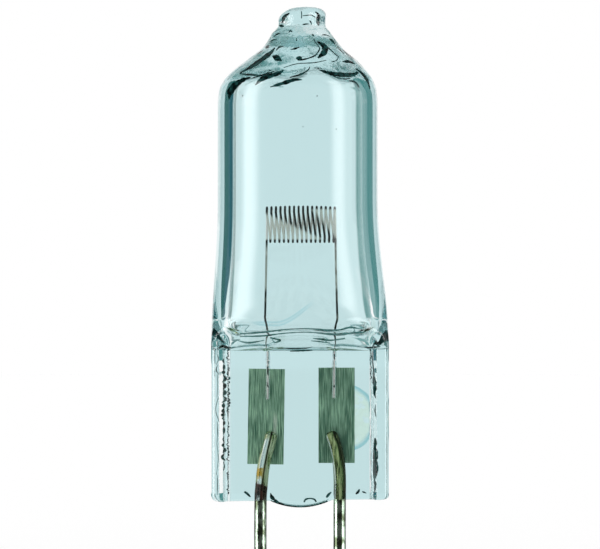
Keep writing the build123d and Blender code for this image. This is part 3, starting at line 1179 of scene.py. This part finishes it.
@dataclass
class PaintedShadeLeaves:
    """Painted shade in the glass: dark leaves where the flame shut folds into the crown, and where the jaws
    left lines and chips in the seal.
    """

    envelope: QuartzEnvelope
    crown_inset: float = 0.1
    crown_rim: float = 0.2
    rail_inset: float = 0.1
    chip_y: float = -1.05
    # The painted dark line along the tongue's lip
    lip_x: Span = (-2.3, 2.6)
    lip_points: int = 12
    lip_rise: float = 0.06
    lip_width: float = 0.05
    # The painted dark broken lines down the rails: place across, both ends, half width and length of a piece
    rail_lines: tuple[tuple[float, float, float, float, float], ...] = (
        (-6.1, 2.3, 10.9, 0.11, 0.5),
        (-5.74, 0.4, 12.0, 0.05, 0.28),
        (-6.58, 0.4, 12.0, 0.028, 2.0),
        (5.66, 9.6, 11.9, 0.045, 0.25),
    )
    rail_bend: float = 0.22
    rail_tip: float = 0.02
    rail_gap: float = 0.4
    luck_scale: float = 3.1
    luck_seeds: tuple[float, ...] = (0.5, 1.5, 2.5, 3.5)
    crown: tuple[Seam, ...] = (
        # Painted shade of the folds across the cone
        Seam(
            (
                (-4.75, 33.88, 0.05), (-4.05, 34.25, 0.13), (-3.40, 34.67, 0.19),
                (-2.44, 35.40, 0.2), (-1.96, 35.95, 0.04),
            )
        ),
        Seam(((-4.75, 33.83, 0.04), (-3.94, 33.70, 0.09), (-3.14, 33.61, 0.03))),
        Seam(((-2.17, 35.22, 0.06), (-1.82, 35.04, 0.26), (-1.43, 34.76, 0.05))),
        Seam(((-1.88, 35.69, 0.04), (-1.63, 35.96, 0.07), (-1.29, 36.00, 0.03))),
        Seam(((-0.75, 35.73, 0.03), (-0.39, 35.81, 0.08), (-0.03, 35.95, 0.04))),
        Seam(((-0.28, 36.71, 0.03), (-0.26, 36.45, 0.04))),
        Seam(
            (
                (-0.30, 35.01, 0.08), (-0.04, 34.97, 0.2), (0.25, 34.87, 0.07),
                (1.10, 35.18, 0.06), (1.45, 35.56, 0.05),
            )
        ),
        Seam(((1.45, 35.56, 0.05), (1.54, 35.89, 0.05), (1.27, 36.29, 0.04), (1.07, 36.68, 0.03))),
        Seam(((1.36, 36.44, 0.05), (1.88, 36.07, 0.2), (1.94, 35.58, 0.24), (1.40, 35.02, 0.06))),
        Seam(((1.36, 36.44, 0.03), (2.08, 36.06, 0.05), (2.66, 35.51, 0.05), (3.03, 35.20, 0.03))),
        Seam(((3.03, 35.20, 0.03), (2.86, 34.86, 0.04), (2.46, 34.72, 0.03))),
        Seam(((3.33, 34.78, 0.05), (3.86, 34.82, 0.13), (4.36, 34.66, 0.04))),
        Seam(((1.49, 34.02, 0.04), (2.54, 33.74, 0.17), (3.99, 33.70, 0.17), (4.57, 33.95, 0.06))),
        Seam(((-3.51, 32.84, 0.03), (-2.89, 33.36, 0.2), (-1.75, 33.72, 0.16), (-1.27, 34.01, 0.04))),
        Seam(((-2.32, 32.66, 0.03), (-1.37, 32.93, 0.15), (-0.41, 33.21, 0.13), (0.16, 33.21, 0.03))),
        Seam(((-0.80, 33.40, 0.04), (0.06, 33.65, 0.08), (0.63, 34.01, 0.05), (0.77, 34.26, 0.03))),
        Seam(((-1.28, 34.21, 0.03), (-0.24, 34.52, 0.04), (1.10, 34.62, 0.04), (2.07, 34.85, 0.03))),
        # Painted dark lines in the tip
        Seam(((-1.39, 38.05, 0.04), (-1.21, 38.51, 0.15), (-0.82, 38.81, 0.04))),
        Seam(((-1.60, 37.89, 0.05), (-1.44, 37.80, 0.12), (-1.24, 37.75, 0.04))),
        Seam(((1.20, 38.92, 0.04), (1.44, 38.67, 0.1), (1.39, 38.20, 0.15), (1.47, 37.80, 0.05))),
        Seam(((0.11, 38.93, 0.03), (0.13, 38.62, 0.04), (0.11, 38.36, 0.03))),
        Seam(((0.20, 38.57, 0.03), (0.89, 38.63, 0.045), (1.24, 38.45, 0.03))),
        Seam(((0.20, 37.86, 0.05), (0.45, 37.90, 0.06), (0.70, 37.92, 0.03))),
        # Painted shade of short folds on the flanks and the shoulders
        Seam(((-2.73, 35.98, 0.05), (-2.58, 36.08, 0.14), (-2.43, 36.18, 0.05))),
        Seam(((-3.38, 35.48, 0.04), (-3.18, 35.63, 0.07), (-2.98, 35.78, 0.03))),
        Seam(((2.93, 36.10, 0.03), (3.18, 35.84, 0.06), (3.47, 35.47, 0.03))),
        Seam(
            (
                (-3.87, 33.49, 0.05), (-4.50, 33.29, 0.18), (-5.06, 32.93, 0.26),
                (-5.45, 32.46, 0.26), (-5.57, 31.83, 0.05),
            )
        ),
        Seam(((4.36, 34.26, 0.04), (4.84, 33.94, 0.12), (5.27, 33.39, 0.12), (5.51, 32.67, 0.04))),
        Seam(((3.35, 35.87, 0.04), (3.91, 35.43, 0.1), (4.39, 35.11, 0.04))),
        Seam(((-2.05, 36.92, 0.03), (-1.8, 37.1, 0.07), (-1.55, 37.16, 0.03))),
        Seam(((-2.35, 36.5, 0.03), (-2.1, 36.64, 0.05), (-1.8, 36.6, 0.03))),
        Seam(((1.72, 37.02, 0.03), (2.0, 37.05, 0.05), (2.35, 36.95, 0.03))),
        Seam(((2.3, 36.75, 0.03), (2.55, 36.55, 0.08), (2.75, 36.3, 0.03))),
        Seam(((0.95, 37.05, 0.05), (1.02, 36.98, 0.07), (1.1, 36.88, 0.04))),
        Seam(((-0.9, 37.2, 0.03), (-0.74, 37.32, 0.06), (-0.6, 37.22, 0.03))),
        Seam(((0.75, 38.2, 0.03), (0.86, 38.05, 0.05), (0.92, 37.85, 0.03))),
        # Painted dark specks round the top of the tube
        Seam(((1.3, 31.96, 0.05), (1.37, 31.94, 0.04))),
        Seam(((0.21, 29.52, 0.04), (0.26, 29.54, 0.03))),
        Seam(((-4.53, 32.07, 0.04), (-4.46, 32.02, 0.05))),
        Seam(((2.80, 29.37, 0.04), (2.86, 29.40, 0.03))),
    )
    # Painted shade in the corners at the tops of the rails
    corners: tuple[Seam, ...] = (
        Seam(((-6.5, 12.1, 0.04), (-6.15, 12.28, 0.13), (-5.8, 12.15, 0.1), (-5.4, 12.14, 0.03))),
        Seam(((5.15, 12.2, 0.03), (5.6, 12.15, 0.08), (6.0, 12.2, 0.08), (6.4, 12.25, 0.03))),
    )
    # Painted dark streaks down the right rail
    streaks: tuple[Seam, ...] = (
        Seam(((5.83, 11.9, 0.03), (5.8, 11.2, 0.06), (5.88, 10.5, 0.05), (5.9, 9.9, 0.1), (5.95, 9.4, 0.15))),
        Seam(((5.95, 9.4, 0.15), (6.0, 8.9, 0.13), (5.96, 8.5, 0.09), (6.05, 8.1, 0.02))),
        Seam(((6.0, 4.95, 0.03), (6.03, 4.6, 0.13), (5.99, 4.2, 0.1), (6.04, 3.7, 0.2), (6.0, 3.2, 0.16))),
        Seam(
            (
                (6.0, 3.2, 0.16), (6.04, 2.6, 0.21), (6.0, 2.0, 0.15),
                (5.97, 1.6, 0.07), (6.02, 1.2, 0.1), (5.96, 0.5, 0.03),
            )
        ),
        Seam(((6.05, 7.6, 0.02), (6.0, 7.1, 0.05), (6.08, 6.6, 0.02))),
    )
    # Painted dark lines in the front wall, over the hollow's floor
    arcs: tuple[Seam, ...] = (
        Seam(
            (
                (-4.75, 13.35, 0.024), (-2.93, 13.49, 0.061), (-1.27, 13.73, 0.048), (0.55, 13.81, 0.054),
                (2.85, 13.65, 0.061), (3.96, 13.80, 0.072), (4.91, 13.61, 0.024),
            )
        ),
        Seam(
            (
                (-4.76, 13.17, 0.035), (-2.93, 13.25, 0.061), (-1.27, 13.45, 0.048), (0.55, 13.54, 0.048),
                (2.85, 13.35, 0.085), (4.12, 13.41, 0.061), (5.23, 13.41, 0.035),
            )
        ),
        Seam(((-4.93, 12.84, 0.035), (-4.21, 12.64, 0.085), (-3.50, 12.72, 0.072), (-2.86, 12.88, 0.035))),
        Seam(((-2.38, 13.12, 0.048), (-1.59, 12.88, 0.109), (-2.07, 12.60, 0.035))),
        Seam(((1.03, 13.06, 0.035), (1.75, 12.97, 0.109), (2.46, 12.88, 0.072), (3.58, 13.04, 0.061))),
        Seam(((0.87, 12.84, 0.035), (1.51, 12.76, 0.072), (2.39, 12.61, 0.035))),
    )
    # Painted shade of chips, and painted dark lines, at the seal's shoulders and along its lower edge
    chips: tuple[Seam, ...] = (
        Seam(((-6.2, 12.85, 0.05), (-6.4, 13.15, 0.13), (-6.55, 13.5, 0.04))),
        Seam(((5.93, 12.42, 0.08), (6.35, 12.87, 0.2), (6.7, 13.35, 0.1))),
        Seam(((-1.8, 12.2, 0.03), (-0.6, 12.11, 0.07), (0.5, 12.17, 0.06), (1.0, 12.35, 0.02))),
        Seam(((-0.8, 11.86, 0.05), (0.1, 11.9, 0.08), (1.0, 11.93, 0.04))),
        Seam(((-4.45, 0.62, 0.05), (-4.2, 0.45, 0.1), (-3.95, 0.2, 0.04))),
        Seam(((-2.35, 0.5, 0.04), (-2.25, 0.2, 0.14), (-2.0, -0.05, 0.06))),
        Seam(((2.1, 0.15, 0.06), (2.3, 0.4, 0.12), (2.5, 0.6, 0.04))),
        Seam(((4.45, 0.42, 0.05), (4.62, 0.58, 0.1), (4.76, 0.82, 0.05))),
        Seam(((4.95, 0.62, 0.03), (5.1, 0.58, 0.06), (5.3, 0.5, 0.03))),
        Seam(
            (
                (0.32, -0.22, 0.07), (0.45, 0.0, 0.08), (0.8, 0.08, 0.05),
                (1.15, 0.0, 0.08), (1.3, -0.2, 0.06),
            )
        ),
        Seam(((-2.0, -0.05, 0.1), (-1.7, -0.25, 0.07), (-1.3, -0.38, 0.03))),
    )

    def crown_depth(self, x: float, height: float) -> float:
        """Place through the glass of a leaf of painted shade just under the front of the crown."""
        off = x - self.envelope.crown_sway.at(height)
        angle = -math.acos(min(max(off / self.envelope.crown_radius.at(height), -1.0), 1.0))
        reach = self.envelope.crown_reach(angle, height) - self.crown_inset
        return -math.sqrt(max(reach * reach - off * off, self.crown_rim**2))

    def wall_depth(self, x: float, height: float) -> float:
        """Place through the glass of a line in the middle of the front wall, over the hollow's floor."""
        return -(self.envelope.hollow_depth.at(height) + self.envelope.half_depth(height)) / 2

    def rail_depth(self, x: float, height: float) -> float:
        """Place through the glass of a line just under the front of a rail."""
        return self.envelope.recess(x, FRONT, height) + self.rail_inset - self.envelope.half_depth(height)

    def rail_line(self, x: float, low: float, high: float, width: float, length: float) -> list[Seam]:
        """Painted dark broken line down a rail.

        Args:
            x: Place across the seal.
            low: Height where the line starts.
            high: Height where it ends.
            width: Half the width of the line.
            length: Usual length of a piece of it.

        Returns:
            The pieces of the line.
        """
        pieces = []
        while low < high:
            luck = [noise.noise(Vector((x, low * self.luck_scale, seed))) for seed in self.luck_seeds]
            top = low + length * (1 + luck[0])
            bend = self.rail_bend * luck[1]
            start = (x + bend, low, self.rail_tip)
            middle = (x - bend, (low + top) / 2, width * (1 + luck[2]))
            end = (x + bend / 2, top, self.rail_tip)
            pieces.append(Seam((start, middle, end)))
            low = top + length * self.rail_gap * max(luck[3], 0.0)
        return pieces

    def lip(self) -> Seam:
        """Painted dark line along the lower edge of the tongue."""
        places = steps(*self.lip_x, self.lip_points)
        return Seam(tuple((x, self.envelope.foot_z(x) + self.lip_rise, self.lip_width) for x in places))

    def build(self) -> bpy.types.Object:
        """Make the leaves of painted shade, which stand for what the CAD envelope leaves out."""
        lines = [shade_leaf for line in self.rail_lines for shade_leaf in self.rail_line(*line)]
        shells = [shade_leaf.skin(self.crown_depth) for shade_leaf in self.crown]
        shells += [shade_leaf.skin(self.rail_depth) for shade_leaf in self.corners]
        shells += [shade_leaf.skin(lambda x, height: self.chip_y) for shade_leaf in (*self.chips, self.lip())]
        shells += [shade_leaf.skin(self.rail_depth) for shade_leaf in (*lines, *self.streaks)]
        shells += [shade_leaf.skin(self.wall_depth) for shade_leaf in self.arcs]
        shade_leaves = make_piece("painted_shade_leaves", shells)
        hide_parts("quartz_envelope")
        return shade_leaves

    def dress(self, shade_leaves: bpy.types.Object) -> None:
        """Give the leaves of painted shade their finish."""
        shade_leaves.data.materials.append(PaintedShadeFinish().material())


@dataclass
class Filament:
    """Tungsten wire wound flat, with a leg at each end."""

    wire_radius: float = 0.088
    wire_spokes: int = 12
    bottom_bends: int = 15
    pitch: float = 0.3625
    front_lean: float = 0.74
    height: float = 2.72
    depth: float = 0.9
    centre_x: float = 0.07
    centre_z: float = 21.96
    arch: float = 0.07
    bend_steps: int = 12
    leg_y: float = 0.4
    leg_steps: int = 24
    channel_radius: float = 0.17
    channel_top: float = 11.95
    channel_below: float = 0.1
    channel_steps: int = 90
    channel_spokes: int = 20
    channel_end_radius: float = 0.115
    channel_taper: int = 3
    channel_wobble: float = 0.04
    channel_wobble_scale: float = 2.2
    channel_seed: float = 7.0
    leg_crossing: float = 5.0
    left_leg: Profile = Profile(
        ((7.98, -2.6), (11.9, -2.58), (12.5, -2.66), (13.2, -2.77), (18.0, -2.74), (22.8, -2.65))
    )
    right_leg: Profile = Profile(
        ((8.08, 2.72), (11.9, 2.77), (12.5, 2.86), (13.2, 2.97), (18.0, 2.92), (22.8, 2.79))
    )

    def leg_profile(self, side: Side) -> Profile:
        """Place across of one leg at each height."""
        return self.left_leg if side is Side.LEFT else self.right_leg

    def leg(self, side: Side) -> list[Vector]:
        """Centre line of one leg, from its end in the seal up to the coil."""
        profile = self.leg_profile(side)
        low, high = profile.points[0][0], self.centre_z + self.height / 2 - self.depth / 2
        coil_y = self.depth / 2 * -side.value
        points = []
        for height in steps(low, high, self.leg_steps):
            across = ease(high - self.leg_crossing, high, height)
            points.append(Vector((profile.at(height), mix(self.leg_y, coil_y, across), height)))
        return points

    def half_turn(self, x: float, side_z: float, reach: float) -> list[Vector]:
        """One bend of the coil, over from one face to the other."""
        turns = [math.pi * step / self.bend_steps for step in range(self.bend_steps + 1)]
        return [Vector((x, reach * math.cos(turn), side_z + reach * math.sin(turn))) for turn in turns]

    def path(self) -> list[Vector]:
        """Centre line of the whole wire."""
        reach = self.depth / 2
        first_x = self.centre_x - self.pitch * self.bottom_bends / 2
        top_z, bottom_z = self.centre_z + self.height / 2 - reach, self.centre_z - self.height / 2 + reach
        points = self.leg(Side.LEFT)
        for bend in range(self.bottom_bends + 1):
            x = first_x + self.pitch * bend
            lift = self.arch * (1 - ((x - self.centre_x) / (first_x - self.centre_x)) ** 2)
            points += self.half_turn(x, top_z + lift, reach)
            if bend < self.bottom_bends:
                points += self.half_turn(x + self.pitch * self.front_lean, bottom_z, -reach)
        return points + self.leg(Side.RIGHT)[::-1]

    def channel(self, side: Side) -> bmesh.types.BMesh:
        """Air gap round one leg where it stands in the seal."""
        profile = self.leg_profile(side)
        heights = steps(profile.points[0][0] - self.channel_below, self.channel_top, self.channel_steps)
        path = [Vector((profile.at(height), self.leg_y, height)) for height in heights]

        def radius(index: int) -> float:
            """Radius of the gap at a point of its path."""
            spot = Vector((side.value * self.channel_seed, 0.0, heights[index] * self.channel_wobble_scale))
            wide = self.channel_radius + self.channel_wobble * noise.noise(spot)
            taper = min(index, len(heights) - 1 - index, self.channel_taper) / self.channel_taper
            return mix(self.channel_end_radius, wide, taper)

        gap = sweep_tube(path, radius, self.channel_spokes)
        bmesh.ops.reverse_faces(gap, faces=gap.faces[:])
        return gap

    def build(self) -> bpy.types.Object:
        """Make the wire, which stands for the CAD filament."""
        shell = sweep_tube(self.path(), lambda _: self.wire_radius, self.wire_spokes)
        wire = make_piece("tungsten_wire", [shell])
        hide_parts("filament")
        return wire

    def dress(self, wire: bpy.types.Object) -> None:
        """Give the wire its finish."""
        wire.data.materials.append(TungstenFinish().material())


@dataclass
class ContactPin:
    """A round pin, straight below the glass and bent towards its foil inside it."""

    side: Side
    radius: float = 0.5
    bottom_z: float = -8.0
    top_z: float = 5.4
    end_chamfer: float = 0.2
    top_round: float = 0.42
    ring_steps: int = 90
    top_steps: int = 10
    spokes: int = 40
    left_line: Profile = Profile(
        ((-8.0, -3.175), (0.0, -3.16), (1.4, -3.05), (2.4, -2.95), (3.4, -2.76), (4.4, -2.48), (5.4, -2.24))
    )
    right_line: Profile = Profile(
        ((-8.0, 3.175), (0.0, 3.18), (1.4, 3.19), (2.4, 3.15), (3.4, 3.04), (4.4, 2.78), (5.4, 2.42))
    )

    def build(self) -> bpy.types.Object:
        """Make the pin, which stands for its CAD node."""
        line = self.left_line if self.side is Side.LEFT else self.right_line
        round_z = self.top_z - self.top_round
        turns = steps(0.0, math.pi / 2, self.top_steps)
        heights = [self.bottom_z, self.bottom_z + self.end_chamfer]
        heights += steps(self.bottom_z + 2 * self.end_chamfer, round_z, self.ring_steps)
        heights += [self.top_z - self.top_round * (1 - math.sin(turn)) for turn in turns]
        heights.append(self.top_z)
        path = [Vector((line.at(height), 0.0, height)) for height in heights]

        def radius(index: int) -> float:
            """Radius of the pin at a point of its path."""
            if index == 0:
                return self.radius - self.end_chamfer
            above = max(heights[index] - round_z, 0.0)
            return self.radius - self.top_round + math.sqrt(max(self.top_round**2 - above**2, 0.0))

        pin = make_piece(f"{self.side.label}_contact_pin", [sweep_tube(path, radius, self.spokes)])
        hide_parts(f"{self.side.label}_pin")
        return pin

    def dress(self, pin: bpy.types.Object) -> None:
        """Give the pin its finish."""
        pin.data.materials.append(PinFinish(self.side).material())


@dataclass
class SealFoil:
    """A thin strip in the seal, which keeps its CAD shape."""

    side: Side

    def dress(self) -> bpy.types.Object:
        """Give the CAD foil its finish, and hand it back."""
        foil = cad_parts[f"{self.side.label}_foil"]
        foil.data.materials.clear()
        foil.data.materials.append(FoilFinish(self.side).material())
        return foil


class Look(NamedTuple):
    """Where a ray goes, in degrees: round from behind the bulb, round from in front of it, and upwards."""

    behind: Sock
    ahead: Sock
    height: Sock


@dataclass
class Studio:
    """White room with dark flags behind the bulb and a tall soft box on each side of it.

    A name that ends in _at gives angles round the bulb, and one that ends in _height angles above the level.
    """

    camera_distance: float = 267.3
    camera_z: float = 17.963
    focal_length: float = 200.0
    sensor_width: float = 36.0
    clip_start: float = 10.0
    clip_end: float = 10000.0
    bounces: int = 64
    floor_z: float = -8.0
    floor_radius: float = 600.0
    floor_segments: int = 96
    floor_colour: Colour = (0.96, 0.96, 0.96, 1.0)
    floor_glow: float = 0.04
    white: Colour = (1.0, 1.0, 1.0, 1.0)
    backdrop: Colour = (0.60, 0.802, 0.82, 1.0)
    shade: Colour = (0.02, 0.075, 0.068, 1.0)
    left_flag: Colour = (0.008, 0.11, 0.104, 1.0)
    left_edge: Colour = (0.03, 0.13, 0.16, 1.0)
    right_flag: Colour = (0.05, 0.235, 0.23, 1.0)
    left_side: Colour = (0.86, 0.93, 0.935, 1.0)
    right_side: Colour = (0.57, 0.76, 0.755, 1.0)
    low_backdrop: Colour = (0.582, 0.775, 0.79, 1.0)
    left_rail: Colour = (1.0, 1.0, 1.0, 1.0)
    right_rail: Colour = (0.7, 0.86, 0.87, 1.0)
    # What the glass shows behind itself
    middle_at: Span = (-1.0, 1.0)
    left_side_at: Band = (-115.0, -56.0, 3.0)
    right_side_at: Band = (56.0, 115.0, 3.0)
    low_at: Band = (-12.0, 12.0, 4.0)
    low_height: Band = (-4.6, -1.4, 0.2)
    left_flag_at: Band = (-54.0, -25.5, 1.2)
    left_edge_at: Band = (-54.0, -41.0, 1.5)
    right_flag_at: Band = (18.5, 41.0, 2.0)
    right_edge_at: Band = (41.0, 56.0, 2.0)
    right_edge_share: float = 0.75
    flag_foot_height: Span = (-14.0, -9.0)
    flag_top_height: Span = (38.0, 46.0)
    front_at: Band = (-60.0, 60.0, 10.0)
    front_dark: float = 0.3
    rail_at: Band = (-86.0, 86.0, 2.0)
    rail_gap_at: Band = (-21.0, 21.0, 4.0)
    rail_height: Band = (-4.5, -1.05, 0.12)
    # The dark far above the bulb, and the faint one far below it
    sky_height: Span = (40.0, 60.0)
    sky_dark: float = 0.95
    ground_height: Span = (-55.0, -34.0)
    ground_dark: float = 0.1
    # What the glass mirrors
    left_box_at: Band = (-84.0, -61.0, 8.0)
    left_box_glow: float = 5.6
    right_box_at: Band = (52.0, 70.0, 7.0)
    right_box_glow: float = 5.2
    box_height: Band = (-42.0, 42.0, 6.0)
    mirror_left_at: Band = (-76.0, -32.0, 4.0)
    mirror_right_at: Band = (24.0, 66.0, 4.0)
    mirror_right_dark: float = 0.9
    mirror_front_at: Band = (-66.0, 66.0, 14.0)
    mirror_front_dark: float = 0.93
    mirror_top_height: Span = (14.0, 34.0)
    mirror_top_dark: float = 0.85
    # Number of matt bounces after which a ray sees only white
    matt_bounces: Span = (0.4, 0.6)

    def place_camera(self) -> None:
        """Stand the camera level, straight in front of the bulb."""
        data = bpy.data.cameras.new("camera")
        data.lens = self.focal_length
        data.sensor_width = self.sensor_width
        data.clip_start = self.clip_start * MM
        data.clip_end = self.clip_end * MM
        camera = bpy.data.objects.new("camera", data)
        camera.location = (0.0, -self.camera_distance * MM, self.camera_z * MM)
        camera.rotation_euler = (math.pi / 2, 0.0, 0.0)
        bpy.context.scene.collection.objects.link(camera)
        bpy.context.scene.camera = camera

    def lay_floor(self) -> None:
        """Lay a round white floor under the pins."""
        disc = bmesh.new()
        radius = self.floor_radius * MM
        bmesh.ops.create_circle(disc, cap_ends=True, segments=self.floor_segments, radius=radius)
        bmesh.ops.translate(disc, vec=(0.0, 0.0, self.floor_z * MM), verts=disc.verts[:])
        mesh = bpy.data.meshes.new("floor")
        disc.to_mesh(mesh)
        disc.free()
        floor = bpy.data.objects.new("floor", mesh)
        bpy.context.scene.collection.objects.link(floor)
        floor.visible_glossy = False
        floor.visible_transmission = False
        material, graph = new_material("white_floor")
        graph.close(
            {
                "Base Color": self.floor_colour,
                "Roughness": 1.0,
                "Specular IOR Level": 0.0,
                "Emission Color": self.white,
                "Emission Strength": self.floor_glow,
            }
        )
        mesh.materials.append(material)

    def flag_level(self, look: Look) -> Sock:
        """1 between the feet and the tops of the flags."""
        return look.height.eased(*self.flag_foot_height) * (1 - look.height.eased(*self.flag_top_height))

    def steep(self, look: Look) -> Sock:
        """How dark the room is far above and far below the bulb."""
        sky = look.height.eased(*self.sky_height) * self.sky_dark
        ground = (1 - look.height.eased(*self.ground_height)) * self.ground_dark
        return sky | ground

    def seen_through(self, graph: Graph, look: Look) -> Sock:
        """Lay what the glass shows behind itself, one layer over another.

        Args:
            graph: Node tree of the world.
            look: Where the ray goes.

        Returns:
            Colour of the ray.
        """
        behind = look.behind
        level = self.flag_level(look)
        right = behind.eased(*self.middle_at)
        lit = behind.band(*self.left_side_at) | behind.band(*self.right_side_at)
        low = look.height.band(*self.low_height) * behind.band(*self.low_at)
        right_edge = behind.band(*self.right_edge_at) * self.right_edge_share
        dark = self.steep(look) | look.ahead.band(*self.front_at) * self.front_dark
        rails = look.height.band(*self.rail_height) * behind.band(*self.rail_at)
        layers = (
            (lit, graph.blend(right, self.left_side, self.right_side)),
            (low, self.low_backdrop),
            (behind.band(*self.left_flag_at) * level, self.left_flag),
            (behind.band(*self.left_edge_at) * level, self.left_edge),
            ((behind.band(*self.right_flag_at) | right_edge) * level, self.right_flag),
            (dark, self.shade),
            (
                rails * (1 - behind.band(*self.rail_gap_at)),
                graph.blend(right, self.right_rail, self.left_rail),
            ),
        )
        colour: Any = self.backdrop
        for share, over in layers:
            colour = graph.blend(share, colour, over)
        return colour

    def mirrored(self, look: Look) -> Sock:
        """Strength of what the glass mirrors: a room with dark parts and two bright soft boxes."""
        level = self.flag_level(look)
        dark = (
            look.ahead.band(*self.mirror_front_at) * self.mirror_front_dark
            | look.behind.band(*self.mirror_left_at) * level
            | look.behind.band(*self.mirror_right_at) * level * self.mirror_right_dark
            | look.height.eased(*self.mirror_top_height) * self.mirror_top_dark
            | self.steep(look)
        )
        left_box = look.ahead.band(*self.left_box_at) * self.left_box_glow
        right_box = look.ahead.band(*self.right_box_at) * self.right_box_glow
        return 1 - dark + (left_box + right_box) * look.height.band(*self.box_height)

    def light(self) -> None:
        """Light the bulb from a white world, with what glass and metal show of it."""
        world = bpy.data.worlds.new("studio")
        bpy.context.scene.world = world
        world.use_nodes = True
        graph = Graph(world.node_tree)
        x, y, z = graph.axes(graph.add("ShaderNodeTexCoord", output="Generated"), "XYZ")
        look = Look(x.bearing(y), x.bearing(y * -1.0), z.rise())
        seen = graph.add("ShaderNodeLightPath", output="Is Transmission Ray")
        glossy = graph.add("ShaderNodeLightPath", output="Is Glossy Ray")
        matt = graph.add("ShaderNodeLightPath", output="Diffuse Depth").eased(*self.matt_bounces)
        colour = graph.blend(seen * (1 - matt), self.white, self.seen_through(graph, look))
        strength = 1 + glossy * (1 - seen) * (1 - matt) * (self.mirrored(look) - 1)
        glow = graph.add("ShaderNodeBackground", None, {"Color": colour, "Strength": strength})
        graph.add("ShaderNodeOutputWorld", None, {"Surface": glow})

    def set_up(self) -> None:
        """Place the camera, the floor and the light."""
        self.place_camera()
        self.lay_floor()
        self.light()
        scene = bpy.context.scene
        scene.view_settings.view_transform = "Standard"
        scene.cycles.max_bounces = self.bounces
        scene.cycles.transmission_bounces = self.bounces
        scene.cycles.glossy_bounces = self.bounces


def complete(maker: Any, *given: Any) -> None:
    """Build, dress and log one piece.

    Args:
        maker: Sub-assembly that makes the piece.
        given: What its build method is given.
    """
    piece = maker.build(*given)
    maker.dress(piece)
    log.info("%s: %d faces", piece.name, len(piece.data.polygons))


def main() -> None:
    """Build the bulb piece by piece, then its studio."""
    logging.basicConfig(level=logging.INFO, format="%(name)s: %(message)s")
    filament = Filament()
    envelope = QuartzEnvelope()
    complete(filament)
    complete(envelope, [filament.channel(side) for side in Side])
    complete(PaintedShadeLeaves(envelope))
    for side in Side:
        complete(ContactPin(side))
        foil = SealFoil(side).dress()
        log.info("%s: kept from the CAD frame", foil.name)
    Studio().set_up()


if __name__ == "__main__":
    main()
